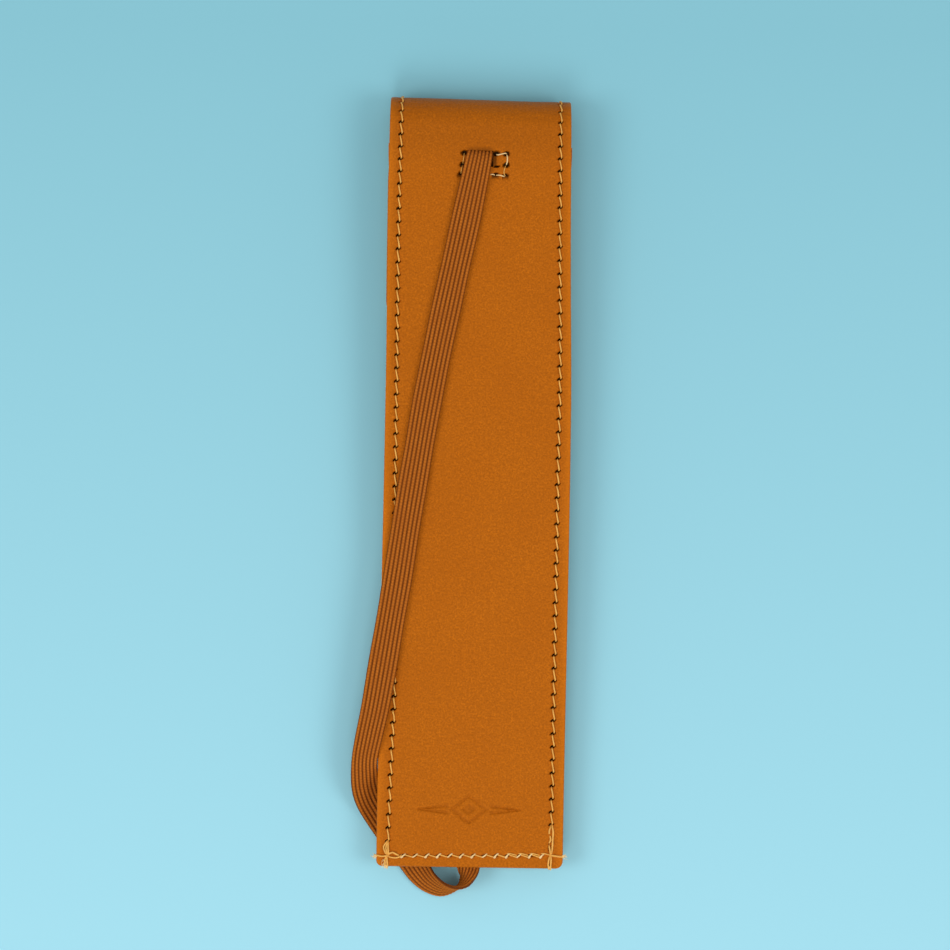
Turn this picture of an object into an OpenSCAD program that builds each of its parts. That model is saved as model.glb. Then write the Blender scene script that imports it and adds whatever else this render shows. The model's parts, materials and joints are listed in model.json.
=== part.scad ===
// Slim leather sleeve for a pen, with a fold-over flap and a flat elastic band.
// +Z is up, +Y runs along the sleeve towards the fold, and the sleeve lies with its back face up
// and its flap on the table. The origin is under the middle of the case, on the table.

/* [Case] */
// Width of the case
case_w = 40; // [38:0.5:44]
// Length of the case, from its bottom edge to the fold
case_l = 166; // [156:1:172]
// Thickness of the case at the fold
fold_t = 12; // [11.5:0.1:12.5]
// Length of the flap, from the end of the fold to its free edge
flap_l = 45; // [30:1:60]
// Radius of the flap's corners
flap_corner_r = 8; // [4:0.5:12]
// Slope of the back face, down towards the bottom edge, in degrees
tilt = 2; // [1.5:0.1:2.2]

/* [Leather] */
// Thickness of the leather
leather_t = 1.2; // [1:0.05:1.2]
// Thickness of the lining
lining_t = 0.5; // [0.3:0.05:0.5]
// Radius of the two bottom corners
corner_r = 1.5; // [0.5:0.1:2]

/* [Pocket] */
// Distance from the fold to the pocket's mouth
mouth_in = 10; // [9:0.5:14]
// Half width of the flat middle of the pocket's belly
belly_flat = 6.5; // [4:0.5:8]
// Gap between the pocket's belly and the flap
flap_gap = 0.1; // [0.05:0.05:0.3]

/* [Stitching] */
// Distance from the edge to the seam
seam_in = 2.6; // [2.2:0.1:3]
// Distance from one stitch to the next
pitch = 2.9; // [2.5:0.1:3.5]
// Length of thread that shows in one stitch
stitch_l = 2; // [1.5:0.1:2.2]
// Width of the thread
thread_w = 0.5; // [0.4:0.05:0.7]
// Slant of a stitch, in degrees
slant = 8; // [0:1:12]

/* [Band] */
// Thickness of the elastic band
band_t = 1; // [0.8:0.05:1]

/* [Hidden] */
$fn = 64;
fold_r = fold_t / 2;
fold_y = case_l / 2 - fold_r;
strip_t = leather_t + lining_t;
stack_t = strip_t + leather_t;
seam_x = case_w / 2 - seam_in;
sleeve_l = (case_l - fold_r - fold_r * sin(tilt)) / cos(tilt) - 0.1;
seam_y = seam_in - sleeve_l;
groove_w = 1.1;
groove_d = 0.2;
// Thread stands this far above the leather
thread_proud = 0.1;
thread_h = groove_d + thread_proud;
// The fold is cut into three parts at these angles, measured from straight up
spine_from = 45;
spine_to = 135;
// Window that the band comes out of, on the sleeve's own axes
window_w = 7.8;
window_l = 4.2;
window_y = -6.5;
// Box of stitches round the band's end
box_left = -3.4;
box_right = 5.5;
box_bottom = -10.1;
box_pitch = 1.9;
// The pocket runs to its full depth over these lengths, measured from the seam
belly_side = seam_in + 1.9;
belly_rise = 28;
// Room for the band's sewn end, between the lining and the pocket
tail_room = 1.25;
tail_half = 3.7;
tail_l = 9;

leather_colour = [0.72, 0.39, 0.1];
lining_colour = [0.62, 0.36, 0.13];
thread_colour = [0.86, 0.7, 0.42];
band_colour = [0.55, 0.3, 0.1];

// The band's route: the middle of the band, then half its width towards its right-hand edge.
// It starts inside the pocket, comes out of the window, crosses the back face, drops over the left
// edge, passes under the corner, makes a loop and goes up into the bottom seam.
ROUTE = [
    [[0.3, 64.6, 9.25], [2.7, 0, 0]],
    [[0.3, 67.5, 9.35], [2.7, 0, 0]],
    [[0.3, 69.8, 9.5], [2.7, 0, 0]],
    [[0.2, 71.2, 9.85], [2.7, 0, 0]],
    [[0.1, 71.75, 10.95], [2.7, -0.1, 0]],
    [[0, 71.1, 12.1], [2.75, -0.2, 0]],
    [[-0.3, 69.6, 12.5], [2.85, -0.4, 0]],
    [[-1.2, 65, 12.35], [3, -0.5, 0]],
    [[-3.1, 55.5, 12], [3.1, -0.6, 0]],
    [[-5.9, 42, 11.55], [3.1, -0.6, 0]],
    [[-8.4, 29.5, 11.1], [3.1, -0.6, 0]],
    [[-10.6, 17.5, 10.7], [3.1, -0.6, 0]],
    [[-12.6, 5, 10.25], [3.1, -0.5, 0]],
    [[-14.6, -8, 9.8], [3.1, -0.5, 0]],
    [[-16.4, -20.5, 9.35], [3.1, -0.5, 0]],
    [[-18.2, -32, 8.95], [3.1, -0.5, 0]],
    [[-19.6, -41, 8.65], [3.1, -0.5, 0.1]],
    [[-20.9, -49, 8.35], [3.05, -0.45, 0.2]],
    [[-22.1, -55, 7.95], [2.9, -0.4, 0.25]],
    [[-23, -59.9, 7.1], [2.75, -0.4, 0]],
    [[-23.1, -63.5, 5.6], [2.8, -0.2, -0.9]],
    [[-22.8, -66.7, 3.7], [2.9, 0.4, -1.2]],
    [[-21.8, -69.7, 2.1], [2.9, 0.9, -0.9]],
    [[-19.8, -73, 1.1], [2.8, 1.3, -0.4]],
    [[-17.6, -76.1, 0.7], [2.75, 1.5, 0]],
    [[-15.3, -79.2, 0.75], [2.7, 1.6, 0.1]],
    [[-12.9, -82, 1.05], [2.6, 1.7, 0.4]],
    [[-10.9, -84.9, 1.6], [2.2, 1.8, 1]],
    [[-8.7, -87.1, 2.3], [1.5, 1.8, 2]],
    [[-5.9, -88.4, 3], [0.6, 1.6, 2.7]],
    [[-2.9, -88.2, 3.4], [0.1, 0.5, 3.1]],
    [[-1.1, -86.8, 3.6], [0.9, -0.4, 2.9]],
    [[-0.4, -84.9, 3.9], [2.1, -0.3, 1.7]],
    [[-0.2, -83.4, 4], [2.6, 0, 0.3]],
    [[-0.3, -81, 4.15], [2.7, 0, 0]],
    [[-0.3, -76, 4.3], [2.7, 0, 0]]
];
// Rings in each step of the route
ROUTE_STEPS = 2;

// ---- helpers ----

function clamp01(t) = min(1, max(0, t));
function smooth(t) = clamp01(t) * clamp01(t) * (3 - 2 * clamp01(t));

// Places its children on the sleeve's own axes: y = 0 at the fold and negative towards the bottom
// edge, z = fold_r on the back face.
module on_sleeve() {
    translate([0, fold_y, fold_r]) rotate([tilt, 0, 0]) children();
}

// Places its children on the fold, at an angle from straight up, at radius r.
module on_fold(x, angle, r) {
    translate([x, fold_y, fold_r]) rotate([-angle, 0, 0]) translate([0, 0, r]) children();
}

// Section of the strip between two radii, with a stitching groove of depth d along each outer side.
module section(r_in, r_out, d) {
    difference() {
        translate([r_in, -case_w / 2]) square([r_out - r_in, case_w]);
        if (d > 0)
            for (s = [-1, 1]) translate([r_out, s * seam_x]) square([2 * d, groove_w], center = true);
    }
}

// Part of the fold, from one angle from straight up to another.
module bend(r_in, r_out, d, from, to) {
    translate([0, fold_y, fold_r])
        rotate([0, -90, 0])
            rotate([0, 0, from])
                rotate_extrude(angle = to - from)
                    section(r_in, r_out, d);
}

// Flat outline from y = 0 down to -l, with rounded lower corners, drawn in by inset all round.
module outline(l, r, inset) {
    w = case_w - 2 * inset;
    end = inset - l;
    round = r - inset;
    translate([-w / 2, end + round]) square([w, -end - round]);
    translate([round - w / 2, end]) square([w - 2 * round, round + 0.01]);
    for (s = [-1, 1])
        translate([s * (w / 2 - round), end + round]) circle(round);
}

// Flat part of the sleeve, between two heights on the sleeve's own axes.
module sleeve_sheet(z_low, z_high) {
    on_sleeve() translate([0, 0, z_low]) linear_extrude(z_high - z_low) outline(sleeve_l, corner_r, 0);
}

// The window that the band passes through.
module window() {
    on_sleeve()
        translate([0, window_y, fold_r])
            cube([window_w, window_l, 3 * strip_t], center = true);
}

module groove(size) {
    cube([size[0], size[1], 2 * groove_d], center = true);
}

// One stitch of thread, lying on z = 0, along Y.
module stitch(l = stitch_l, turn = slant, h = thread_h) {
    rotate([0, 0, turn]) translate([-thread_w / 2, -l / 2, 0]) cube([thread_w, l, h]);
}

// ---- leather and lining of the sleeve ----

module back_panel() {
    color(leather_colour) difference() {
        union() {
            sleeve_sheet(fold_r - leather_t, fold_r);
            bend(fold_r - leather_t, fold_r, groove_d, -tilt, spine_from);
        }
        on_sleeve() {
            for (s = [-1, 1])
                translate([s * seam_x, -sleeve_l / 2, fold_r]) groove([groove_w, sleeve_l + 0.001]);
            translate([0, seam_y, fold_r]) groove([case_w + 1, groove_w]);
        }
        window();
    }
}

module back_lining() {
    color(lining_colour) difference() {
        union() {
            sleeve_sheet(fold_r - strip_t, fold_r - leather_t);
            bend(fold_r - strip_t, fold_r - leather_t, 0, -tilt, spine_from);
        }
        window();
    }
}

// ---- pocket: a sheet of leather moulded to a shallow belly ----

// Height of the belly's outer face above the table, at a distance y from the fold.
function belly_floor(y) = (strip_t + flap_gap) * smooth((y + flap_l + 32) / 28);
function belly_drop(y) = (fold_r - stack_t) * cos(tilt) + fold_r + y * sin(tilt) - belly_floor(y);
function across(x) =
    (1 + cos(180 * clamp01((abs(x) - belly_flat) / (case_w / 2 - belly_side - belly_flat)))) / 2;
function along(y) = smooth((y - seam_y - 2) / belly_rise);
function tail_drop(x, y) =
    tail_room * smooth((tail_half + 2 - abs(x)) / 2) * smooth((tail_l + 5 - y - sleeve_l) / 4);
function pocket_z(x, y) =
    fold_r - stack_t - max(belly_drop(y) * across(x) * along(y), tail_drop(x, y));

// Columns of the sheet as shares of half its width, and its rows up from the bottom edge.
POCKET_COLUMNS = [0, 0.185, 0.235, 0.285, 0.375, 0.475, 0.575, 0.675, 0.775, 0.875, 1];
POCKET_ROWS = [
    0, 3, 5, 7, 9, 11, 13, 16, 19, 22, 26, 30, 36, 46, 56, 66, 78, 82, 86, 90, 94, 98, 102, 106, 110
];
function pocket_xs() = [
    for (i = [len(POCKET_COLUMNS) - 1 : -1 : 1]) -POCKET_COLUMNS[i] * case_w / 2,
    for (share = POCKET_COLUMNS) share * case_w / 2
];
function pocket_ys() =
    let (top = POCKET_ROWS[len(POCKET_ROWS) - 1] - sleeve_l, mouth = fold_r - mouth_in)
    concat([for (d = POCKET_ROWS) d - sleeve_l], [for (k = [1 : 4]) top + k * (mouth - top) / 4]);

module moulded_sheet(xs, ys, thick) {
    nx = len(xs);
    ny = len(ys);
    n = nx * ny;
    low = [for (y = ys, x = xs) [x, y, pocket_z(x, y)]];
    high = [for (p = low) [p[0], p[1], p[2] + thick]];
    polyhedron(
        points = concat(low, high),
        faces = concat(
            [for (i = [0 : ny - 2], j = [0 : nx - 2], a = [i * nx + j]) each [
                [a, a + 1, a + nx + 1], [a, a + nx + 1, a + nx],
                [n + a, n + a + nx + 1, n + a + 1], [n + a, n + a + nx, n + a + nx + 1]]],
            [for (j = [0 : nx - 2], a = j, b = n - nx + j) each [
                [a, n + a, n + a + 1], [a, n + a + 1, a + 1],
                [b, n + b + 1, n + b], [b, b + 1, n + b + 1]]],
            [for (i = [0 : ny - 2], a = i * nx, b = i * nx + nx - 1) each [
                [a, a + nx, n + a + nx], [a, n + a + nx, n + a],
                [b, n + b + nx, b + nx], [b, n + b, n + b + nx]]]
        )
    );
}

module pocket_panel() {
    color(leather_colour) on_sleeve() moulded_sheet(pocket_xs(), pocket_ys(), leather_t);
}

// ---- threads of the sleeve ----

// Stitches up one long side and over the start of the fold, with one below the bottom seam.
module side_seam(x) {
    first = seam_y + 1.1 * pitch;
    color(thread_colour) {
        on_sleeve() translate([x, 0, fold_r - groove_d]) {
            for (y = [first : pitch : -stitch_l / 2]) translate([0, y, 0]) stitch();
            translate([0, seam_y - seam_in / 2 - 0.3, 0]) stitch(1.6, 0);
        }
        for (angle = [8, 33]) on_fold(x, angle, fold_r - groove_d + 0.01) stitch(stitch_l, 0);
    }
}

module left_seam_thread() side_seam(-seam_x);
module right_seam_thread() side_seam(seam_x);

module bottom_seam_thread() {
    count = floor((case_w - 4 * seam_in) / pitch / 2);
    color(thread_colour) on_sleeve() translate([0, seam_y, fold_r - groove_d]) {
        for (k = [-count : count]) translate([k * pitch, 0, 0]) rotate([0, 0, 90]) stitch();
        for (s = [-1, 1]) translate([s * (seam_x + 0.2), 0, 0]) rotate([0, 0, 90]) stitch(3.8, 0);
    }
}

// The box of stitches round the window, open along its top edge. The thread lies on the leather.
module band_anchor_thread() {
    run = (box_right - box_left) / 4;
    color(thread_colour) on_sleeve() translate([0, 0, fold_r]) {
        for (x = [box_left, box_right], k = [0, 1])
            translate([x, box_bottom + (k + 0.5) * box_pitch, 0]) stitch(1.4, 0, thread_proud);
        for (k = [0 : 3])
            translate([box_left + (k + 0.5) * run, box_bottom, 0]) rotate([0, 0, 90])
                stitch(1.5, 0, thread_proud);
    }
}

// ---- elastic band: one flat strip swept along its route ----

function catmull(a, b, c, d, t) =
    0.5 * (2 * b + (c - a) * t + (2 * a - 5 * b + 4 * c - d) * t * t
        + (3 * b - a - 3 * c + d) * t * t * t);
function knot(i) = ROUTE[min(len(ROUTE) - 1, max(0, i))];
function along_route(k, col) =
    let (i = floor(k / ROUTE_STEPS), t = k / ROUTE_STEPS - i)
    catmull(knot(i - 1)[col], knot(i)[col], knot(i + 1)[col], knot(i + 2)[col], t);
function unit(v) = v / norm(v);
ring_count = (len(ROUTE) - 1) * ROUTE_STEPS + 1;
mids = [for (k = [0 : ring_count - 1]) along_route(k, 0)];
halves = [for (k = [0 : ring_count - 1]) along_route(k, 1)];
function heading(k) = unit(mids[min(k + 1, ring_count - 1)] - mids[max(k - 1, 0)]);
function sideways(k) = let (t = heading(k), h = halves[k]) unit(h - (h * t) * t) * norm(h);
// The band's section: the share of its half width, then of its half thickness, at eight corners.
BAND_SECTION = [[1, 0.4], [0.9, 1], [-0.9, 1], [-1, 0.4], [-1, -0.4], [-0.9, -1], [0.9, -1], [1, -0.4]];
function ring(k) = let (s = sideways(k), up = cross(heading(k), unit(s)) * band_t / 2)
    [for (p = BAND_SECTION) mids[k] + p[0] * s + p[1] * up];

module elastic_band() {
    m = len(BAND_SECTION);
    last = (ring_count - 1) * m;
    color(band_colour) polyhedron(
        points = [for (k = [0 : ring_count - 1]) each ring(k)],
        faces = concat(
            [for (k = [0 : ring_count - 2], i = [0 : m - 1], a = k * m + i, b = k * m + (i + 1) % m) each [
                [a, b, b + m], [a, b + m, a + m]]],
            [for (i = [1 : m - 2]) [0, i + 1, i]],
            [for (i = [1 : m - 2]) [last, last + i, last + i + 1]]
        )
    );
}

// ---- spine: the middle of the fold ----

module spine_leather() {
    color(leather_colour) bend(fold_r - leather_t, fold_r, groove_d, spine_from, spine_to);
}

module spine_lining() {
    color(lining_colour) bend(fold_r - strip_t, fold_r - leather_t, 0, spine_from, spine_to);
}

module spine_thread() {
    color(thread_colour) for (s = [-1, 1], angle = [57, 90, 123])
        on_fold(s * seam_x, angle, fold_r - groove_d + 0.01) stitch(stitch_l, 0);
}

// ---- flap ----

module flap_leather() {
    color(leather_colour) {
        bend(fold_r - leather_t, fold_r, groove_d, 180, spine_to);
        translate([0, fold_y, 0]) difference() {
            linear_extrude(leather_t) outline(flap_l, flap_corner_r, 0);
            translate([0, 0, -groove_d]) linear_extrude(2 * groove_d) difference() {
                outline(flap_l, flap_corner_r, seam_in - groove_w / 2);
                outline(flap_l, flap_corner_r, seam_in + groove_w / 2);
            }
        }
    }
}

module flap_lining() {
    color(lining_colour) {
        bend(fold_r - strip_t, fold_r - leather_t, 0, 180, spine_to);
        translate([0, fold_y, leather_t]) linear_extrude(lining_t) outline(flap_l, flap_corner_r, 0);
    }
}

// Stitches down both sides of the flap, round its corners and along its free edge, flush with
// the leather's outer face.
module flap_thread() {
    straight = flap_l - flap_corner_r;
    end_l = case_w - 2 * flap_corner_r;
    side_count = floor(straight / pitch);
    end_count = floor(end_l / pitch);
    color(thread_colour) {
        for (s = [-1, 1]) on_fold(s * seam_x, 147, fold_r - groove_d + 0.01) stitch(stitch_l, 0);
        translate([0, fold_y, 0]) {
            for (s = [-1, 1], k = [0 : side_count - 1])
                translate([s * seam_x, -(k + 0.6) * straight / side_count, 0])
                    stitch(stitch_l, slant, groove_d);
            for (s = [-1, 1], angle = [22, 68])
                translate([s * end_l / 2, -straight, 0]) rotate([0, 0, -s * angle])
                    translate([s * (flap_corner_r - seam_in - 0.1), 0, 0])
                        stitch(stitch_l, slant, groove_d);
            for (k = [0 : end_count - 1])
                translate([((k + 0.5) / end_count - 0.5) * end_l, seam_in - flap_l, 0])
                    rotate([0, 0, 90]) stitch(stitch_l, slant, groove_d);
        }
    }
}

back_panel();
back_lining();
pocket_panel();
left_seam_thread();
right_seam_thread();
bottom_seam_thread();
band_anchor_thread();
elastic_band();
spine_leather();
spine_lining();
spine_thread();
flap_leather();
flap_lining();
flap_thread();
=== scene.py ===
"""Looks of the leather pen sleeve: leather, lining, stitching and elastic band round the CAD frame.

The back, the fold and the flap are one strip of leather. Its points are worked out on the unfolded
strip, as x across it, s along its outer face from the start of the fold and h above that face, and
strip() then folds them into place. Lengths are in millimetres until make_piece() writes a mesh.
"""

import json
import math

import bmesh
import bpy
import numpy as np
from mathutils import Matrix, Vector


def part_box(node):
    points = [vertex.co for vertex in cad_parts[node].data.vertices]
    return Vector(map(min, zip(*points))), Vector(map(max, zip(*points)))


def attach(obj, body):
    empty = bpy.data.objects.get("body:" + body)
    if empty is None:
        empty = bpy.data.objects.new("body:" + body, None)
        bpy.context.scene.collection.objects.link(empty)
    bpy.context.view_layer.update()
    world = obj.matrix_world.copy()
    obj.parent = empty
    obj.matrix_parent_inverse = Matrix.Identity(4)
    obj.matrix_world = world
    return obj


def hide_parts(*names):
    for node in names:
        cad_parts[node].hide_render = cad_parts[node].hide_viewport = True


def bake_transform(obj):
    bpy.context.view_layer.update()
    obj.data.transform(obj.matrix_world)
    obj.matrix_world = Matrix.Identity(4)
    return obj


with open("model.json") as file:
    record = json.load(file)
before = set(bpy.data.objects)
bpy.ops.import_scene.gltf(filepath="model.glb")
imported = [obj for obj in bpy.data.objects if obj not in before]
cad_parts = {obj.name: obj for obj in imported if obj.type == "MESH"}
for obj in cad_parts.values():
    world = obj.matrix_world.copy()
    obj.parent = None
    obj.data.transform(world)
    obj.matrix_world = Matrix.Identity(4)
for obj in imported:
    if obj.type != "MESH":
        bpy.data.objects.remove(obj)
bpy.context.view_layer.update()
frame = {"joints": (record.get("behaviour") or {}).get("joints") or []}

MM = 0.001
random = np.random.default_rng(7)

# ---- sizes, from the frame and as in the CAD model ----

joints = {j["name"]: j for j in frame["joints"]}
spine_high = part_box("spine_leather")[1]
flap_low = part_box("flap_leather")[0]
HALF_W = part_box("back_panel")[1].x / MM
FOLD_R = (joints["spine_fold"]["pos_m"][2] + joints["flap_fold"]["pos_m"][2]) / 2 / MM
FOLD_Y = spine_high.y / MM - FOLD_R
FLAP_L = FOLD_Y - flap_low.y / MM
TILT = math.radians(2)
LONGER = 0.58
SLEEVE_L = (FOLD_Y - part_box("back_panel")[0].y / MM - FOLD_R * math.sin(TILT)) / math.cos(TILT) + LONGER
LEATHER_T = 1.2
LINING_T = 0.5
STRIP_T = LEATHER_T + LINING_T
STACK_T = STRIP_T + LEATHER_T
FOLD_END = FOLD_R * (math.pi + TILT)
APEX = FOLD_R * (math.pi / 2 + TILT)
STRIP_END = FOLD_END + FLAP_L
CORNER_R = 1.5
FLAP_CORNER_R = 8
MOUTH = -4
EDGE_R = 0.35

SEAM_IN = 2.6
SEAM_X = HALF_W - SEAM_IN
SEAM_S = SEAM_IN - SLEEVE_L
PITCH = 2.85
FOLD_PITCH = 2.62
CLOSER_FROM = -16
PAST_END = 16
FIRST_HOLE = {-1: SEAM_S + 3.15, 1: SEAM_S + 6.9}

WINDOW_LEFT = -2.8
WINDOW_RIGHT = 2.9
WINDOW = (-8.6, -5.15)


# ---- shared geometry ----


def smooth(t):
    t = np.clip(t, 0, 1)
    return t * t * (3 - 2 * t)


def strayed(x, s):
    """Where a point of the strip lies on a case made by hand: bowed, skewed at the fold, seams astray."""
    bow = 0.08 + 0.4 * smooth((-15 - s) / 45) * smooth((s + 157) / 95)
    wider = np.interp(
        s, [-160, -93, -59, -37, -16, 0, 22, 30], [0.28, 0.25, 0.14, -0.07, -0.2, -0.36, -0.36, 0]
    )
    left = np.interp(s, [-158, -124, -100, -76, -44, 0, 30], [-0.34, 0.66, 0.2, -0.19, -0.36, -0.09, 0])
    right = np.interp(s, [-158, -142, -103, -76, -46, 0, 30], [-0.07, 0.05, -0.08, -0.13, 0.2, 0.23, 0])
    near_seam = np.interp(np.abs(x), [9, SEAM_X, HALF_W], [0, 1, 0])
    flat_again = 1 - smooth((s - FOLD_END) / 12)
    new_x = x + bow * flat_again + wider * x / HALF_W + np.where(x < 0, left, right) * near_seam
    skew = (0.39 - 0.0155 * x) * smooth((s + 37) / 43) * flat_again
    seam_tilt = 0.27 * x / SEAM_X * np.interp(s, [-SLEEVE_L, SEAM_S, SEAM_S + 12], [0, 1, 0])
    return new_x, skew + seam_tilt


def strip(points):
    """Folds points (x, s, h) of the unfolded strip into place, in millimetres."""
    x, s, h = np.asarray(points, float).T
    x, further = strayed(x, s)
    angle = np.clip(s / FOLD_R - TILT, -TILT, math.pi)
    before = np.minimum(s, 0)
    after = np.maximum(s - FOLD_END, 0)
    y = FOLD_Y + (FOLD_R + h) * np.sin(angle) + before * math.cos(TILT) - after + further
    z = FOLD_R + (FOLD_R + h) * np.cos(angle) + before * math.sin(TILT)
    return np.stack([x, y, z], axis=1)


def waves(x, s, seed, size, detail=3):
    """Smooth repeatable unevenness between about -1 and 1, over lengths of about size."""
    phase = np.random.default_rng(seed).uniform(0, 2 * math.pi, (detail, 4))
    total = np.zeros(np.broadcast(x, s).shape)
    for k in range(detail):
        f = 2 * math.pi * 1.7**k / size
        total += np.sin(f * x + phase[k, 0] + 1.3 * np.sin(f * s * 0.7 + phase[k, 1])) * np.sin(
            f * s * 0.9 + phase[k, 2] + 1.1 * np.sin(f * x * 0.6 + phase[k, 3])
        ) / 1.6**k
    return total / 1.9


def make_piece(name, points, faces, materials, flat=None, shade=None, material_index=None):
    """A mesh object from points in millimetres, with the strip's own coordinates and shading kept."""
    mesh = bpy.data.meshes.new(name)
    mesh.from_pydata((np.asarray(points) * MM).tolist(), [], faces)
    for m in materials:
        mesh.materials.append(m)
    if material_index is not None:
        mesh.polygons.foreach_set("material_index", np.asarray(material_index, np.int32))
    kept = np.asarray(points if flat is None else flat, np.float32) * MM
    mesh.attributes.new("flat", "FLOAT_VECTOR", "POINT").data.foreach_set("vector", kept.ravel())
    if shade is not None:
        mesh.attributes.new("shade", "FLOAT", "POINT").data.foreach_set(
            "value", np.asarray(shade, np.float32)
        )
    work = bmesh.new()
    work.from_mesh(mesh)
    bmesh.ops.recalc_face_normals(work, faces=work.faces)
    work.to_mesh(mesh)
    work.free()
    mesh.polygons.foreach_set("use_smooth", np.ones(len(mesh.polygons), bool))
    mesh.set_sharp_from_angle(angle=math.radians(50))
    piece = bpy.data.objects.new(name, mesh)
    bpy.context.scene.collection.objects.link(piece)
    return piece


# ---- materials ----


class Nodes:
    """A material's node tree, written as short calls."""

    def __init__(self, name):
        self.material = bpy.data.materials.new(name)
        self.material.use_nodes = True
        self.tree = self.material.node_tree
        self.shader = self.tree.nodes["Principled BSDF"]

    def add(self, kind, inputs=None, **settings):
        node = self.tree.nodes.new(kind)
        for key, value in settings.items():
            setattr(node, key, value)
        for key, value in (inputs or {}).items():
            self.put(node.inputs[key], value)
        return node

    def put(self, socket, value):
        if isinstance(value, bpy.types.NodeSocket):
            self.tree.links.new(value, socket)
        else:
            socket.default_value = value

    def flat(self, per_mm):
        """The piece's own unfolded coordinates, scaled so that 1 is 1/per_mm millimetres."""
        place = self.add("ShaderNodeAttribute", attribute_name="flat")
        scale = (per_mm,) * 3 if isinstance(per_mm, (int, float)) else per_mm
        scaled = self.add(
            "ShaderNodeVectorMath",
            {0: place.outputs["Vector"], 1: tuple(k / MM for k in scale)},
            operation="MULTIPLY",
        )
        return scaled.outputs[0]

    def across(self):
        """Distance from the middle line of the unfolded piece, in millimetres."""
        parts = self.add("ShaderNodeSeparateXYZ", {0: self.flat(1)})
        return self.maths("ABSOLUTE", parts.outputs["X"])

    def noise(self, per_mm, detail=3.0, roughness=0.55):
        node = self.add(
            "ShaderNodeTexNoise",
            {"Vector": self.flat(per_mm), "Scale": 1.0, "Detail": detail, "Roughness": roughness},
        )
        return node.outputs["Fac"]

    def cells(self, per_mm, feature="F1", output="Distance"):
        node = self.add(
            "ShaderNodeTexVoronoi", {"Vector": self.flat(per_mm), "Scale": 1.0}, feature=feature
        )
        return node.outputs[output]

    def attribute(self, name):
        return self.add("ShaderNodeAttribute", attribute_name=name).outputs["Fac"]

    def ramp(self, value, low, high, to_low=0.0, to_high=1.0):
        node = self.add(
            "ShaderNodeMapRange",
            {"Value": value, "From Min": low, "From Max": high, "To Min": to_low, "To Max": to_high},
        )
        return node.outputs["Result"]

    def maths(self, operation, a, b=0.0):
        return self.add("ShaderNodeMath", {0: a, 1: b}, operation=operation).outputs[0]

    def mix(self, share, a, b, blend="MIX"):
        node = self.add("ShaderNodeMix", data_type="RGBA", blend_type=blend)
        self.put(node.inputs[0], share)
        for socket, value in ((node.inputs[6], a), (node.inputs[7], b)):
            self.put(socket, value if isinstance(value, bpy.types.NodeSocket) else (*value, 1.0))
        return node.outputs[2]

    def bump(self, height, distance_mm, strength=1.0, under=None):
        inputs = {"Height": height, "Distance": distance_mm * MM, "Strength": strength}
        if under is not None:
            inputs["Normal"] = under
        return self.add("ShaderNodeBump", inputs).outputs["Normal"]

    def finish(self, colour, roughness, normal, **values):
        self.put(self.shader.inputs["Base Color"], colour)
        self.put(self.shader.inputs["Roughness"], roughness)
        self.put(self.shader.inputs["Normal"], normal)
        for key, value in values.items():
            self.put(self.shader.inputs[key.replace("_", " ")], value)
        return self.material


def leather_material(name, colour, dark, pore=0.35):
    """Smooth dyed leather: fine pebbled grain, a few pores, faint mottling, and painted shade in its needle
    holes, round the band's window, in its stamped lines and over the fold.
    """
    n = Nodes(name)
    pebbles = n.cells(2.6, "SMOOTH_F1")
    fine = n.noise(7.0, 4.0)
    mottle = n.noise(0.07, 4.0, 0.5)
    speckle = n.noise(2.4, 4.0, 0.65)
    dapple = n.noise(0.9, 3.0, 0.6)
    pores = n.ramp(n.cells(0.62), 0.035, 0.075, 1.0, 0.0)
    tint = n.mix(n.ramp(mottle, 0.3, 0.7), colour, dark)
    tint = n.mix(n.ramp(speckle, 0.38, 0.64, 0.0, 0.9), tint, tuple(k * 0.62 for k in dark))
    tint = n.mix(n.ramp(dapple, 0.36, 0.64, 0.0, 0.55), tint, tuple(k * 0.74 for k in dark))
    tint = n.mix(n.ramp(n.across(), 18.4, 19.8, 0.0, 0.35), tint, tuple(k * 1.3 for k in colour))
    tint = n.mix(n.maths("MULTIPLY", pores, pore), tint, tuple(k * 0.35 for k in dark))
    # Painted shade: the shade attribute darkens the leather almost to black in needle holes and at the
    # band's window, and a little in the stamped lines and over the fold.
    tint = n.mix(n.attribute("shade"), tint, tuple(k * 0.03 for k in dark))
    height = n.maths("ADD", n.maths("MULTIPLY", pebbles, 0.9), n.maths("MULTIPLY", fine, 0.6))
    height = n.maths("ADD", height, n.maths("MULTIPLY", dapple, 2.2))
    height = n.maths("SUBTRACT", height, n.maths("MULTIPLY", pores, 0.5))
    rough = n.ramp(speckle, 0.3, 0.7, 0.44, 0.56)
    return n.finish(
        tint, rough, n.bump(height, 0.09, 0.8), Specular_IOR_Level=0.2, Specular_Tint=(1, 0.62, 0.3, 1)
    )


def edge_material(name, colour, dark):
    """A cut leather edge, stained and rubbed: fibres along the edge, lighter in rubbed patches."""
    n = Nodes(name)
    fibres = n.noise((0.7, 0.7, 7.0), 4.0, 0.65)
    patches = n.noise(0.4, 3.0)
    tint = n.mix(n.ramp(fibres, 0.3, 0.7), colour, dark)
    tint = n.mix(n.ramp(patches, 0.45, 0.75, 0.0, 0.35), tint, tuple(min(1, k * 1.5) for k in colour))
    return n.finish(tint, n.ramp(fibres, 0.3, 0.7, 0.5, 0.75), n.bump(fibres, 0.08, 0.7))


def lining_material():
    """Split leather with a short nap."""
    n = Nodes("lining_suede")
    nap = n.noise(5.0, 5.0, 0.75)
    patches = n.noise(0.22, 3.0)
    tint = n.mix(n.ramp(patches, 0.3, 0.7), (0.38, 0.165, 0.045), (0.27, 0.105, 0.024))
    tint = n.mix(n.ramp(nap, 0.3, 0.7, 0.0, 0.4), tint, (0.46, 0.23, 0.08))
    tint = n.mix(n.attribute("shade"), tint, (0.02, 0.008, 0.002))
    return n.finish(tint, 0.88, n.bump(nap, 0.09, 0.8), Specular_IOR_Level=0.2)


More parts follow.
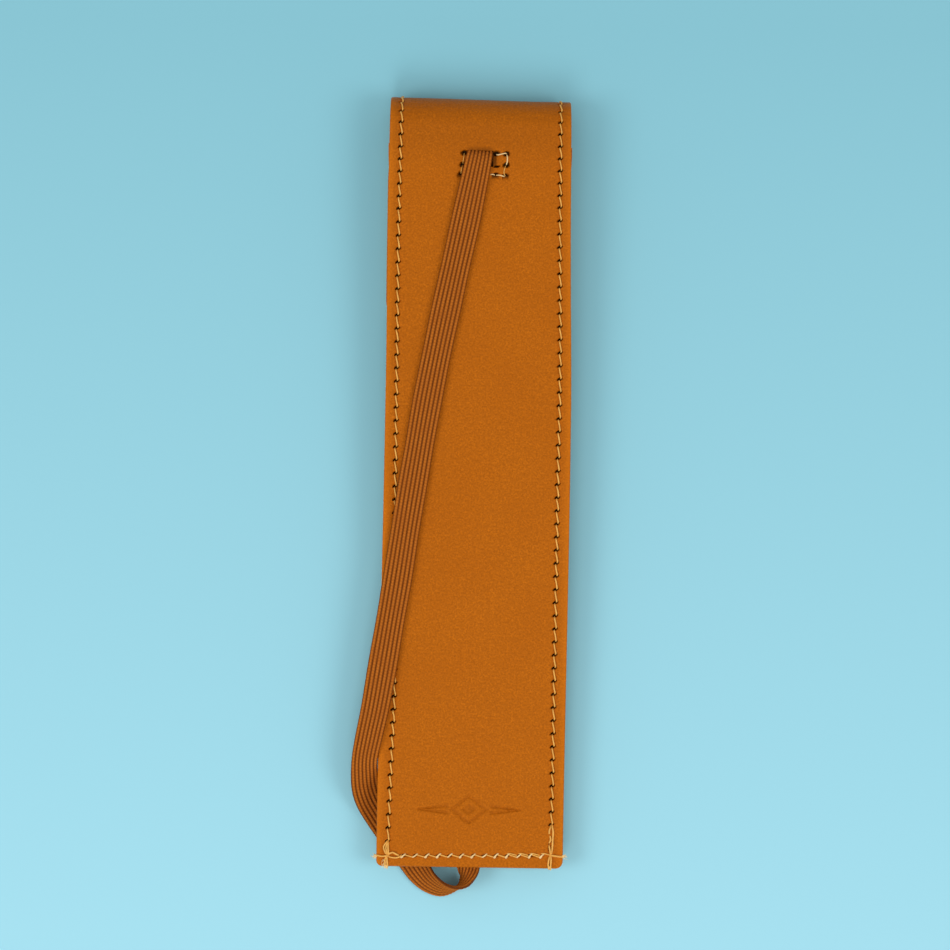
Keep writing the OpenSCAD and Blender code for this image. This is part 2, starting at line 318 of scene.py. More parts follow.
def thread_material(name, colour, dark):
    """Waxed sewing thread: painted shade between its plies."""
    n = Nodes(name)
    fuzz = n.noise(9.0, 3.0)
    uneven = n.noise(0.5, 2.0)
    # Painted shade: darker in the grooves between the plies.
    tint = n.mix(n.attribute("shade"), colour, dark)
    tint = n.mix(n.ramp(uneven, 0.35, 0.7, 0.0, 0.35), tint, dark)
    rough = n.ramp(fuzz, 0.3, 0.7, 0.35, 0.55)
    return n.finish(tint, rough, n.bump(fuzz, 0.03, 0.5), Specular_Tint=(1, 0.85, 0.6, 1))


def elastic_material():
    """Covered elastic: spun yarn ribs, with painted shade in the gaps between them and between the beads,
    and a painted highlight speckle on the yarn.
    """
    n = Nodes("elastic_yarn")
    yarn = n.noise((9.0, 9.0, 9.0), 4.0, 0.7)
    uneven = n.noise(0.35, 3.0)
    # Painted shade: near black in the grooves between the ribs and between the beads.
    tint = n.mix(n.attribute("shade"), (0.6, 0.165, 0.012), (0.06, 0.006, 0.0002))
    tint = n.mix(n.ramp(uneven, 0.35, 0.75, 0.0, 0.35), tint, (0.27, 0.058, 0.004))
    # Painted highlight: a lighter speckle on the yarn.
    tint = n.mix(n.ramp(yarn, 0.45, 0.75, 0.0, 0.4), tint, (0.7, 0.28, 0.07))
    return n.finish(
        tint, n.ramp(yarn, 0.3, 0.7, 0.6, 0.85), n.bump(yarn, 0.05, 0.7), Specular_IOR_Level=0.04
    )


LEATHER = leather_material("leather_tan", (0.6, 0.158, 0.0045), (0.55, 0.138, 0.0035))
LEATHER_EDGE = edge_material("leather_edge", (0.46, 0.15, 0.02), (0.3, 0.08, 0.008))
LINING = lining_material()
THREAD = thread_material("thread_gold", (1, 0.53, 0.11), (0.45, 0.17, 0.018))
THREAD_PALE = thread_material("thread_cream", (1, 0.76, 0.38), (0.62, 0.33, 0.09))
ELASTIC = elastic_material()


# ---- camera ----

VIEW_HEIGHT = 900
VIEW_WIDTH = 205.85
VIEW_CENTRE = (0.0044, 1.842)
VIEW_ROLL = 0.875
SENSOR = 36

camera = bpy.data.objects.new("camera", bpy.data.cameras.new("camera"))
bpy.context.scene.collection.objects.link(camera)
camera.data.sensor_width = SENSOR
camera.data.lens = SENSOR * VIEW_HEIGHT / VIEW_WIDTH
camera.location = Vector((*VIEW_CENTRE, VIEW_HEIGHT + 9)) * MM
camera.rotation_euler = (0, 0, math.radians(VIEW_ROLL))
bpy.context.scene.camera = camera


# ---- elastic band ----

# The route of part.scad: the middle of the band, then half its width towards its right-hand edge.
ROUTE = [
    [[0.3, 64.6, 9.25], [2.7, 0, 0]],
    [[0.3, 67.5, 9.35], [2.7, 0, 0]],
    [[0.3, 69.8, 9.5], [2.7, 0, 0]],
    [[0.2, 71.2, 9.85], [2.7, 0, 0]],
    [[0.1, 71.75, 10.95], [2.7, -0.1, 0]],
    [[0, 71.1, 12.1], [2.75, -0.2, 0]],
    [[-0.3, 69.6, 12.5], [2.85, -0.4, 0]],
    [[-1.2, 65, 12.35], [3, -0.5, 0]],
    [[-3.1, 55.5, 12], [3.1, -0.6, 0]],
    [[-5.9, 42, 11.55], [3.1, -0.6, 0]],
    [[-8.4, 29.5, 11.1], [3.1, -0.6, 0]],
    [[-10.6, 17.5, 10.7], [3.1, -0.6, 0]],
    [[-12.6, 5, 10.25], [3.1, -0.5, 0]],
    [[-14.6, -8, 9.8], [3.1, -0.5, 0]],
    [[-16.4, -20.5, 9.35], [3.1, -0.5, 0]],
    [[-18.2, -32, 8.95], [3.1, -0.5, 0]],
    [[-19.6, -41, 8.65], [3.1, -0.5, 0.1]],
    [[-20.9, -49, 8.35], [3.05, -0.45, 0.2]],
    [[-22.1, -55, 7.95], [2.9, -0.4, 0.25]],
    [[-23, -59.9, 7.1], [2.75, -0.4, 0]],
    [[-23.1, -63.5, 5.6], [2.8, -0.2, -0.9]],
    [[-22.8, -66.7, 3.7], [2.9, 0.4, -1.2]],
    [[-21.8, -69.7, 2.1], [2.9, 0.9, -0.9]],
    [[-19.8, -73, 1.1], [2.8, 1.3, -0.4]],
    [[-17.6, -76.1, 0.7], [2.75, 1.5, 0]],
    [[-15.3, -79.2, 0.75], [2.7, 1.6, 0.1]],
    [[-12.9, -82, 1.05], [2.6, 1.7, 0.4]],
    [[-10.9, -84.9, 1.6], [2.2, 1.8, 1]],
    [[-8.7, -87.1, 2.3], [1.5, 1.8, 2]],
    [[-5.9, -88.4, 3], [0.6, 1.6, 2.7]],
    [[-2.9, -88.2, 3.4], [0.1, 0.5, 3.1]],
    [[-1.1, -86.8, 3.6], [0.9, -0.4, 2.9]],
    [[-0.4, -84.9, 3.9], [2.1, -0.3, 1.7]],
    [[-0.2, -83.4, 4], [2.6, 0, 0.3]],
    [[-0.3, -81, 4.15], [2.7, 0, 0]],
    [[-0.3, -76, 4.3], [2.7, 0, 0]],
]
BAND_T = 1
RIBS = 7
POINTS_PER_RIB = 5
RING_STEP = 0.165
RINGS_PER_BEAD = 4


def catmull(knots, t):
    """The smooth line through the knots at t, where 1 is the step from one knot to the next."""
    knots = np.asarray(knots, float)
    i = np.clip(np.floor(t).astype(int), 0, len(knots) - 2)
    t = (t - i)[:, None]
    a, b, c, d = (knots[np.clip(i + k, 0, len(knots) - 1)] for k in (-1, 0, 1, 2))
    return 0.5 * (
        2 * b
        + (c - a) * t
        + (2 * a - 5 * b + 4 * c - d) * t * t
        + (3 * b - a - 3 * c + d) * t**3
    )


def even_steps(knots, step):
    """Places along the smooth line through the knots that are about one step apart, and its length."""
    t = np.linspace(0, len(knots) - 1, 40 * len(knots))
    line = catmull(knots, t)
    run = np.concatenate([[0], np.cumsum(np.linalg.norm(np.diff(line, axis=0), axis=1))])
    count = max(4, round(run[-1] / step) + 1)
    return np.interp(np.linspace(0, run[-1], count), run, t), run[-1]


def unit(v):
    return v / np.linalg.norm(v, axis=-1, keepdims=True)


def ring_faces(rings, around):
    """Quads of a tube of rings, and a face over each end."""
    faces = []
    for k in range(rings - 1):
        a, b = k * around, (k + 1) * around
        for i in range(around):
            after = (i + 1) % around
            faces.append((a + i, a + after, b + after, b + i))
    last = (rings - 1) * around
    return faces + [tuple(range(around)), tuple(range(last, last + around))]


def elastic_band():
    mids_of = [m for m, _ in ROUTE]
    halves_of = [h for _, h in ROUTE]
    t, length = even_steps(mids_of, RING_STEP)
    mids = catmull(mids_of, t)
    halves = catmull(halves_of, t)
    heading = unit(np.gradient(mids, axis=0))
    wide = np.linalg.norm(halves, axis=1)
    side = unit(halves - np.sum(halves * heading, axis=1)[:, None] * heading)
    up = np.cross(heading, side)
    across = np.linspace(-1, 1, RIBS * POINTS_PER_RIB + 1)
    rib = (across + 1) / 2 * RIBS
    crown = np.abs(np.sin(math.pi * rib)) ** 1.1
    uneven = 1 + 0.1 * np.sin(2.4 * np.floor(np.clip(rib, 0, RIBS - 0.001)) + 0.7)
    level = 0.42 + 0.47 * crown * uneven
    level[[0, -1]] = 0.3
    bead_phase = 2 * math.pi * np.arange(len(t)) / RINGS_PER_BEAD
    alternate = math.pi * np.floor(np.clip(rib, 0, RIBS - 0.001))
    beads = np.cos(bead_phase[:, None] + alternate[None, :]) * crown[None, :]
    high = BAND_T / 2 * (level[None, :] + 0.11 * beads)
    low = -BAND_T / 2 * (level[None, :] - 0.11 * beads)
    wobble = 1 + 0.012 * np.sin(np.arange(len(t)) * RING_STEP / 3.1)
    spread = across[None, :] * (wide * wobble)[:, None]
    top = mids[:, None] + spread[..., None] * side[:, None] + high[..., None] * up[:, None]
    bottom = mids[:, None] + spread[..., None] * side[:, None] + low[..., None] * up[:, None]
    rings = np.concatenate([top, bottom[:, ::-1]], axis=1)
    around = rings.shape[1]
    run = np.linspace(0, length, len(t))
    # Painted shade in the grooves between ribs and between beads.
    half_shade = np.clip((1 - crown)[None, :] + 0.16 * (1 - beads), 0, 1)
    shade = np.concatenate([half_shade, half_shade[:, ::-1]], axis=1)
    own = np.zeros((len(t), around, 3))
    own[..., 0] = np.concatenate([spread, spread[:, ::-1]], axis=1)
    own[..., 1] = run[:, None]
    own[..., 2] = np.concatenate([high, low[:, ::-1]], axis=1)
    piece = make_piece(
        "elastic_strap",
        rings.reshape(-1, 3),
        ring_faces(len(t), around),
        [ELASTIC],
        own.reshape(-1, 3),
        shade.ravel(),
    )
    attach(piece, "sleeve")
    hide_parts("elastic_band")
    return piece


elastic_band()


# ---- needle holes ----


def seam_point(side, q):
    """The seam's place (x, s) at a distance q along it: up the side and round the flap's corner."""
    side_end = STRIP_END - FLAP_CORNER_R
    bend_r = FLAP_CORNER_R - SEAM_IN
    bend_l = bend_r * math.pi / 2
    corner_x = HALF_W - FLAP_CORNER_R
    if q <= side_end:
        return side * SEAM_X, q
    if q <= side_end + bend_l:
        a = (q - side_end) / bend_r
        return side * (corner_x + bend_r * math.cos(a)), side_end + bend_r * math.sin(a)
    return side * (corner_x - (q - side_end - bend_l)), STRIP_END - SEAM_IN


def seam_heading(side, q):
    """Angle of the seam at q: 0 along s, and growing towards the middle of the flap."""
    a, b = seam_point(side, q - 0.05), seam_point(side, q + 0.05)
    return math.atan2(-(b[0] - a[0]), b[1] - a[1])


def seam_places(side):
    """Distances of one side's holes along the seam: closer together from just below the fold on."""
    wide = np.arange(FIRST_HOLE[side], CLOSER_FROM, PITCH)
    near_fold = np.arange(wide[-1] + FOLD_PITCH, STRIP_END + PAST_END, FOLD_PITCH)
    return np.concatenate([wide, near_fold])


HOLES = {
    side: [(*seam_point(side, q), seam_heading(side, q), q) for q in seam_places(side)]
    for side in (-1, 1)
}
SLIT_L = 1.1
SLIT_W = 0.54
SLIT_TURN = math.radians(20)
BOX_HOLES = [
    (-3.5, -5.7), (-3.76, -8.2), (-4.14, -10.3), (-1.6, -10.45), (0.9, -10.4), (3.45, -10.35),
    (5.59, -10.5), (5.74, -8.1), (5.77, -5.7), (3.5, -5.7),
]
CORNER_HOLES = [(SEAM_X - 0.35, SEAM_S + 4.65), (SEAM_X - 0.39, SEAM_S + 2.55), (SEAM_X - 0.25, SEAM_S - 2)]


def pits(x, s, holes, length, width, depth):
    """How deep each hole (x, s, turn) dips the surface, and how much painted shade it gets, at points (x,
    s).
    """
    dip = np.zeros(x.shape)
    for hole_x, hole_s, turn in holes:
        near = (np.abs(x - hole_x) < 1.2) & (np.abs(s - hole_s) < 1.2)
        dx, ds = x[near] - hole_x, s[near] - hole_s
        u = dx * math.cos(turn) + ds * math.sin(turn)
        v = ds * math.cos(turn) - dx * math.sin(turn)
        e = np.hypot(u / (length / 2), v / (width / 2))
        dip[near] = np.maximum(dip[near], smooth((1.3 - e) / 0.45))
    return dip * depth, dip


def side_slits():
    """Every hole of both side seams as (x, s, turn), slanted across the seam."""
    return [(x, s, turn + SLIT_TURN) for side in (-1, 1) for x, s, turn, _ in HOLES[side]]


# ---- leather strip ----


def half_width(s, corner):
    """Half the strip's width at s: full, and less round the corners at both of its ends."""
    s = np.asarray(s, float)
    lift = np.clip(corner - (s + SLEEVE_L), 0, corner)
    end = np.clip(s - (STRIP_END - FLAP_CORNER_R), 0, FLAP_CORNER_R)
    bottom = corner - np.sqrt(np.maximum(corner**2 - lift**2, 0))
    top = FLAP_CORNER_R - np.sqrt(np.maximum(FLAP_CORNER_R**2 - end**2, 0))
    narrow = 0.12 * smooth((s + 2) / (APEX + 2)) * (1 - smooth((s - APEX) / 12))
    return HALF_W - bottom - top - narrow


def edge_distance(x, s, corner):
    """Distance from a point of the strip to its nearest edge."""
    ax = np.abs(x)
    side = half_width(np.clip(s, 1 - SLEEVE_L, STRIP_END - FLAP_CORNER_R), 0.01) - ax
    d = np.minimum(side, np.minimum(s + SLEEVE_L, STRIP_END - s))
    for r, centre in ((corner, corner - SLEEVE_L), (FLAP_CORNER_R, STRIP_END - FLAP_CORNER_R)):
        out_x = ax - (HALF_W - r)
        out_s = (centre - s) if centre < 0 else (s - centre)
        in_corner = (out_x > 0) & (out_s > 0)
        d = np.where(in_corner, r - np.hypot(out_x, out_s), d)
    return np.maximum(d, 0)


def rounding(d, r):
    inside = np.clip(d, 0, r)
    return r - np.sqrt(np.maximum(r * r - (r - inside) ** 2, 0))


def seam_trough(x, s):
    """Dip of the leather under the stitches, deeper on the flap so that the thread lies flush."""
    depth = 0.1 + 0.28 * smooth((s - 13) / 6)
    d_edge = edge_distance(x, s, 0.01)
    side = np.exp(-(((d_edge - SEAM_IN) / 0.42) ** 2))
    return depth * side


def ornament(x, s):
    """Blind stamping: a lozenge in a lozenge between two tapering rules, from 0 to 1."""
    u = x + 0.3
    v = s - ORNAMENT_S
    outer = np.abs(np.abs(u) / 3.6 + np.abs(v) / 3 - 1) / np.hypot(1 / 3.6, 1 / 3)
    inner = (np.abs(u) / 1.5 + np.abs(v) / 1.25 - 1) / np.hypot(1 / 1.5, 1 / 1.25)
    stamp = smooth((0.42 - outer) / 0.3)
    stamp = np.maximum(stamp, smooth((0.15 - inner) / 0.3))
    along = np.clip((np.abs(u) - 4.6) / 6.6, 0, 1)
    rule_half = 0.34 * (1 - 0.6 * along)
    ends = smooth((np.abs(u) - 4.4) / 0.3) * smooth((11.4 - np.abs(u)) / 0.3)
    for level in (-0.75, 0.75):
        stamp = np.maximum(stamp, ends * smooth((rule_half - np.abs(v - level * (1 - along))) / 0.25 + 0.5))
    return stamp


ORNAMENT_S = -147.7
ORNAMENT_DEPTH = 0.28


def leather_height(x, s):
    """Height of the strip's outer face above its nominal place, and the painted shade on the face there."""
    slit_dip, slit_dark = pits(x, s, side_slits(), SLIT_L, SLIT_W, 0.95)
    box_dip, box_dark = pits(x, s, [(a, b, 0.3) for a, b in BOX_HOLES], 1.3, 1, 0.8)
    cut_dip, cut_dark = pits(x, s, [(3.65, WINDOW[0] + 0.12, 0.1)], 1.3, 0.34, 0.8)
    # A shallow dent right of the window: a real dip, with painted shade in it.
    dent_with_painted_shade = smooth((x - WINDOW_RIGHT + 0.4) / 0.3) * smooth((3.75 - x) / 0.25)
    dent_with_painted_shade = dent_with_painted_shade * smooth((s - WINDOW[0]) / 0.3) * smooth((-5.5 - s) / 0.4)
    # Painted shade round the band's top end where it comes out of the window.
    painted_shade_at_band_exit = smooth((3.4 - np.abs(x - 0.1)) / 1.4) * smooth((s + 5.9) / 0.7) * smooth((-3.9 - s) / 1.1)
    corner_dip, corner_dark = pits(x, s, [(a, b, 0.3) for a, b in CORNER_HOLES], 0.6, 0.42, 0.6)
    box_dip, box_dark = np.maximum(box_dip, cut_dip), np.maximum(box_dark, cut_dark)
    bottom_dip, bottom_dark = pits(x, s, bottom_holes(), 0.6, 0.45, 0.5)
    bottom_dip, bottom_dark = np.maximum(bottom_dip, corner_dip), np.maximum(bottom_dark, corner_dark)
    d = edge_distance(x, s, CORNER_R)
    on_back = 1 - smooth((s - APEX) / 4)
    height = 0.09 * waves(x, s, 3, 60) * on_back + 0.018 * waves(x, s, 4, 7) * on_back
    height -= rounding(d, EDGE_R)
    height -= seam_trough(x, s)
    height -= slit_dip + box_dip + bottom_dip
    stamp = ornament(x, s)
    height -= ORNAMENT_DEPTH * stamp + 0.25 * dent_with_painted_shade
    # Painted shade in the needle holes, the slits and the window's corner cut.
    dark = np.maximum(np.maximum(slit_dark, box_dark), bottom_dark * 0.8)
    # Painted shade over the fold, where it turns away from the key light.
    painted_fold_shade = 0.12 * smooth((s + 10) / 8) * (1 - smooth((s - FOLD_END) / 4))
    # Painted shade in the dent right of the window and round the band's exit.
    dark = np.maximum(dark, np.maximum(0.6 * dent_with_painted_shade, 0.42 * painted_shade_at_band_exit))
    # The stamped lines get painted shade as well.
    return height, np.maximum(dark, np.maximum(0.13 * stamp, painted_fold_shade))


def bottom_holes():
    return [(x, SEAM_S, 0.5) for x in BOTTOM_X]


BOTTOM_X = np.linspace(-14.1, 15.5, 13)


def spaced(*parts):
    """Sorted places from several lists, without any that are almost the same."""
    places = np.sort(np.concatenate([np.atleast_1d(p) for p in parts]))
    return places[np.concatenate([[True], np.diff(places) > 0.045])]


def seam_columns():
    edge = HALF_W - np.array([0, 0.03, 0.1, 0.2, 0.35, 0.7, 1.15])
    seam = SEAM_X + np.array([-0.9, -0.62, -0.46, -0.33, -0.21, -0.1, 0, 0.1, 0.21, 0.33, 0.46, 0.62, 0.9])
    return np.concatenate([edge, seam])


def leather_columns(fine, half_fine):
    side = seam_columns()
    middle = np.linspace(0, half_fine, round(half_fine / fine) + 1)
    outer = np.linspace(half_fine, SEAM_X - 1.3, 5)
    right = spaced(middle, outer, side)
    columns = np.concatenate([-right[:0:-1], right])
    for edge in (WINDOW_LEFT, WINDOW_RIGHT):
        columns[np.argmin(np.abs(columns - edge))] = edge
    return columns


def hole_rows(start, end):
    """Rows of the grid from start to end, close together at each needle hole of the side seams."""
    near = np.array([-0.4, -0.22, -0.08, 0.06, 0.2, 0.38])
    centres = np.concatenate([seam_places(side) for side in (-1, 1)])
    rows = (centres[:, None] + near[None, :]).ravel()
    return rows[(rows > start + 0.04) & (rows < end - 0.04)]


def sheet_mesh(columns, rows, width_of, top_of, under, window):
    """Points, faces, dark values and face materials of a closed sheet with a window in it.

    Each row is one loop: its top points from left to right, then four points of its underside.
    """
    n = len(columns)
    around = n + 4
    share = columns / columns[-1]
    x = share[None, :] * width_of(rows)[:, None]
    s = np.repeat(rows[:, None], n, axis=1)
    top, dark = top_of(x, s)
    half = width_of(rows)
    sides = [np.full(len(rows), edge) for edge in (WINDOW_RIGHT, WINDOW_LEFT)]
    under_x = np.stack([half, *sides, -half], axis=1)
    loops = np.zeros((len(rows), around, 3))
    loops[:, :n, 0] = x
    loops[:, n:, 0] = under_x
    loops[..., 1] = rows[:, None]
    loops[:, :n, 2] = top
    loops[:, n:, 2] = under
    shade = np.zeros((len(rows), around))
    shade[:, :n] = dark
    left = int(np.argmin(np.abs(columns - WINDOW_LEFT)))
    right = int(np.argmin(np.abs(columns - WINDOW_RIGHT)))
    first = int(np.argmin(np.abs(rows - WINDOW[0]))) if window else -1
    last = int(np.argmin(np.abs(rows - WINDOW[1]))) if window else -1
    faces, edge_face = [], []

    def at(j, i):
        return j * around + i % around

    for j in range(len(rows) - 1):
        open_row = window and first <= j < last
        for i in range(around):
            if open_row and (left <= i < right or i == n + 1):
                continue
            faces.append((at(j, i), at(j, i + 1), at(j + 1, i + 1), at(j + 1, i)))
            edge_face.append(i in (n - 1, around - 1))
        if open_row:
            faces.append((at(j, right), at(j + 1, right), at(j + 1, n + 1), at(j, n + 1)))
            faces.append((at(j, left), at(j + 1, left), at(j + 1, n + 2), at(j, n + 2)))
            edge_face += [True, True]
    if window:
        for j in (first, last):
            faces.append(tuple(at(j, i) for i in range(left, right + 1)) + (at(j, n + 1), at(j, n + 2)))
            edge_face.append(True)
    for j in (0, len(rows) - 1):
        faces.append(tuple(at(j, i) for i in range(around)))
        edge_face.append(True)
    return loops.reshape(-1, 3), faces, shade.ravel(), np.array(edge_face, int)


def across_fold(piece, first_half):
    """Bakes a piece's placement into its mesh, for the part from the sleeve to the spine or from the spine
    to the flap.
    """
    inner = FOLD_R - STRIP_T - 0.1

    def place(angle):
        a = math.radians(angle)
        return Vector((0, FOLD_Y + inner * math.sin(a), FOLD_R + inner * math.cos(a))) * MM

    if first_half:
        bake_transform(piece)
    else:
        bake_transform(piece)


EDGE_STEPS = np.array([0, 0.03, 0.09, 0.18, 0.3, 0.5, 0.8, 1.1, 1.5])


def leather_back():
    ornament_rows = np.arange(ORNAMENT_S - 3.5, ORNAMENT_S + 3.6, 0.25)
    bottom_rows = SEAM_S + np.array([-1, -0.7, -0.5, -0.35, -0.22, -0.1, 0, 0.1, 0.22, 0.35, 0.5, 0.7, 1])
    rows = spaced(
        EDGE_STEPS - SLEEVE_L,
        bottom_rows,
        hole_rows(-SLEEVE_L, APEX),
        ornament_rows,
        WINDOW,
        np.arange(-9.2, -3.4, 0.2),
        APEX - np.array([0, 0.06, 0.3, 0.6]),
    )
    rows = rows[(rows >= -SLEEVE_L) & (rows <= APEX)]
    keep = np.ones(len(rows), bool)
    for edge in WINDOW:
        keep &= (np.abs(rows - edge) > 0.1) | (np.abs(rows - edge) < 1e-6)
    rows = rows[keep]
    columns = leather_columns(0.34, 12)
    flat, faces, shade, edge = sheet_mesh(
        columns, rows, lambda s: half_width(s, CORNER_R), leather_height, -LEATHER_T, True
    )
    piece = make_piece("leather_back", strip(flat), faces, [LEATHER, LEATHER_EDGE], flat, shade, edge)
    across_fold(piece, True)
    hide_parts("back_panel", "spine_leather")


def leather_flap():
    bottom = STRIP_END - SEAM_IN
    rows = spaced(
        APEX + np.array([0, 0.06, 0.3, 0.6]),
        hole_rows(APEX, STRIP_END),
        STRIP_END - EDGE_STEPS,
        bottom + np.array([-1, -0.7, -0.5, -0.35, -0.2, -0.1, 0, 0.1, 0.2, 0.35, 0.5, 0.7, 1]),
        np.arange(STRIP_END - FLAP_CORNER_R, STRIP_END - 1, 0.35),
    )
    rows = rows[(rows >= APEX) & (rows <= STRIP_END)]
    columns = leather_columns(0.5, 12)
    flat, faces, shade, edge = sheet_mesh(
        columns, rows, lambda s: half_width(s, CORNER_R), leather_height, -LEATHER_T, False
    )
    piece = make_piece("leather_flap", strip(flat), faces, [LEATHER, LEATHER_EDGE], flat, shade, edge)
    across_fold(piece, False)
    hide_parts("flap_leather")


leather_back()
leather_flap()


# ---- lining ----


def lining_height(x, s):
    height = np.full(x.shape, -LEATHER_T) - 0.002
    return height, np.zeros(x.shape)


def lining_width(s):
    return half_width(s, CORNER_R) - 0.12


def lining_sheet(name, start, end, first_half, nodes):
    rows = spaced(np.linspace(start, end, round((end - start) / 1.1) + 1))
    if first_half:
        rows = spaced(rows, WINDOW)
        keep = np.ones(len(rows), bool)
        for edge in WINDOW:
            keep &= (np.abs(rows - edge) > 0.2) | (np.abs(rows - edge) < 1e-6)
        rows = rows[keep]
    else:
        rows = spaced(rows, end - EDGE_STEPS, np.arange(end - FLAP_CORNER_R, end, 0.4))
    left, right = np.linspace(-18.5, WINDOW_LEFT, 12), np.linspace(WINDOW_RIGHT, 18.5, 12)
    between = np.linspace(WINDOW_LEFT, WINDOW_RIGHT, 5)[1:-1]
    columns = np.concatenate([[-HALF_W], left, between, right, [HALF_W]])
    flat, faces, shade, edge = sheet_mesh(
        columns, rows, lining_width, lining_height, -STRIP_T, first_half
    )
    piece = make_piece(name, strip(flat), faces, [LINING], flat, shade)
    across_fold(piece, first_half)
    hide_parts(*nodes)


lining_sheet("lining_back", 0.12 - SLEEVE_L, APEX, True, ["back_lining", "spine_lining"])
lining_sheet("lining_flap", APEX, STRIP_END - 0.12, False, ["flap_lining"])


# ---- pocket panel ----

BELLY_FLAT = 6.5
BELLY_EDGE = 15.5
BELLY_RISE = 28
FLAP_GAP = 0.1
TAIL_ROOM = 1.25
TAIL_HALF = 3.7
TAIL_L = 9


def pocket_face(x, s):
    """Height of the pocket's outer face: a shallow moulded belly, level along its seams."""
    floor = (STRIP_T + FLAP_GAP) * smooth((s + FLAP_L + 32) / 28)
    drop = (FOLD_R - STACK_T) * math.cos(TILT) + FOLD_R + s * math.sin(TILT) - floor
    across = (1 + np.cos(math.pi * np.clip((np.abs(x) - BELLY_FLAT) / (BELLY_EDGE - BELLY_FLAT), 0, 1))) / 2
    along = smooth((s - SEAM_S - 2) / BELLY_RISE)
    tail = TAIL_ROOM * smooth((TAIL_HALF + 2 - np.abs(x)) / 2) * smooth((TAIL_L + 5 - s - SLEEVE_L) / 4)
    return -STACK_T - np.maximum(drop * across * along, tail)


def pocket_width(s):
    """Half the pocket's width: a little proud of the back at the corners of its mouth."""
    s = np.asarray(s, float)
    lift = np.clip(CORNER_R - (s + SLEEVE_L), 0, CORNER_R)
    corner = CORNER_R - np.sqrt(np.maximum(CORNER_R**2 - lift**2, 0))
    return HALF_W - corner - 0.05 + 0.26 * smooth((s - MOUTH + 8) / 7)


def pocket_front():
    side = seam_columns()
    right = spaced(np.linspace(0, SEAM_X - 1.4, 15), side)
    columns = np.concatenate([-right[:0:-1], right])
    end_steps = EDGE_STEPS[:7]
    rows = spaced(hole_rows(-SLEEVE_L, MOUTH), end_steps - SLEEVE_L, MOUTH - end_steps)
    rows = rows[(rows >= -SLEEVE_L) & (rows <= MOUTH)]
    n, m = len(columns), len(rows)
    x = (columns / HALF_W)[None, :] * pocket_width(rows)[:, None]
    s = np.repeat(rows[:, None], n, axis=1)
    base = pocket_face(x, s)
    holes = [(a, b, t - SLIT_TURN) for a, b, t in side_slits() if b < MOUTH]
    dip, dark = pits(x, s, holes, SLIT_L, SLIT_W, 0.7)
    edge = np.minimum(pocket_width(rows)[:, None] - np.abs(x), np.minimum(s + SLEEVE_L, MOUTH - s))
    groove = 0.1 * np.exp(-(((np.abs(x) - SEAM_X) / 0.42) ** 2))
    outer = base + rounding(np.maximum(edge, 0), EDGE_R) + dip + groove
    outer += 0.05 * smooth(edge / 3) * np.clip(waves(x, s, 9, 34), 0, 1)
    inner = base + LEATHER_T - 0.01
    flat = np.stack(
        [np.stack([x, s, outer], axis=-1), np.stack([x, s, inner], axis=-1)]
    ).reshape(-1, 3)
    count = n * m
    faces, edge_face = [], []
    for j in range(m - 1):
        for i in range(n - 1):
            a = j * n + i
            faces.append((a, a + 1, a + n + 1, a + n))
            faces.append((count + a, count + a + n, count + a + n + 1, count + a + 1))
            edge_face += [0, 0]
    rim = [(j * n, (j + 1) * n) for j in range(m - 1)]
    rim += [((j + 1) * n - 1, (j + 2) * n - 1) for j in range(m - 1)]
    rim += [(i, i + 1) for i in range(n - 1)]
    rim += [((m - 1) * n + i, (m - 1) * n + i + 1) for i in range(n - 1)]
    for a, b in rim:
        faces.append((a, b, count + b, count + a))
        edge_face.append(1)
    # Painted shade in the pocket's needle holes.
    shade = np.concatenate([dark.ravel(), np.zeros(count)])
    materials = [LEATHER, LEATHER_EDGE]
    piece = make_piece("leather_pocket", strip(flat), faces, materials, flat, shade, edge_face)
    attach(piece, "sleeve")
    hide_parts("pocket_panel")


pocket_front()


# ---- threads ----

YARN_R = 0.18
YARN_STEP = 0.16
YARN_SIDES = 9
PLIES = 3
TWIST_L = 1.3


class Threads:
    """Collects strands of twisted thread on the unfolded strip into one mesh."""

    def __init__(self):
        self.points, self.faces, self.flat, self.shade, self.material = [], [], [], [], []
        self.count = 0

    def strand(self, knots, radius=YARN_R, pale=False, plies=PLIES, taper=0.0):
        """One strand along the smooth line through knots (x, s, h)."""
        t, length = even_steps(knots, YARN_STEP)
        line = catmull(knots, t)
        heading = unit(np.gradient(line, axis=0))
        side = unit(np.cross(heading, np.array([0.13, 0.21, 1.0])))
        up = np.cross(side, heading)
        run = np.linspace(0, length, len(t))
        around = 2 * math.pi * np.arange(YARN_SIDES) / YARN_SIDES
        turn = around[None, :] - 2 * math.pi * run[:, None] / TWIST_L
        lobe = 0.5 + 0.5 * np.cos(plies * turn) if plies > 1 else np.full(turn.shape, 0.7)
        size = radius * (1 - taper * (run / length))[:, None] * (0.8 + 0.2 * lobe)
        ring = line[:, None] + size[..., None] * (
            np.cos(around)[None, :, None] * side[:, None] + np.sin(around)[None, :, None] * up[:, None]
        )
        faces = ring_faces(len(t), YARN_SIDES)
        self.faces += [tuple(v + self.count for v in f) for f in faces]
        self.flat.append(ring.reshape(-1, 3))
        # Painted shade in the grooves between the plies.
        self.shade.append(np.clip(0.5 * (1 - lobe) ** 2, 0, 1).ravel())
        self.material += [int(pale)] * len(faces)
        self.count += ring.shape[0] * ring.shape[1]

    def piece(self, name):
        flat = np.concatenate(self.flat)
        return make_piece(
            name,
            strip(flat),
            self.faces,
            [THREAD, THREAD_PALE],
            flat,
            np.concatenate(self.shade),
            self.material,
        )


def local(place, turn, dx, ds, h):
    """A knot at an offset (dx, ds) from a seam point, on axes turned with the seam."""
    c, w = math.cos(turn), math.sin(turn)
    return (place[0] + dx * c - ds * w, place[1] + dx * w + ds * c, h)


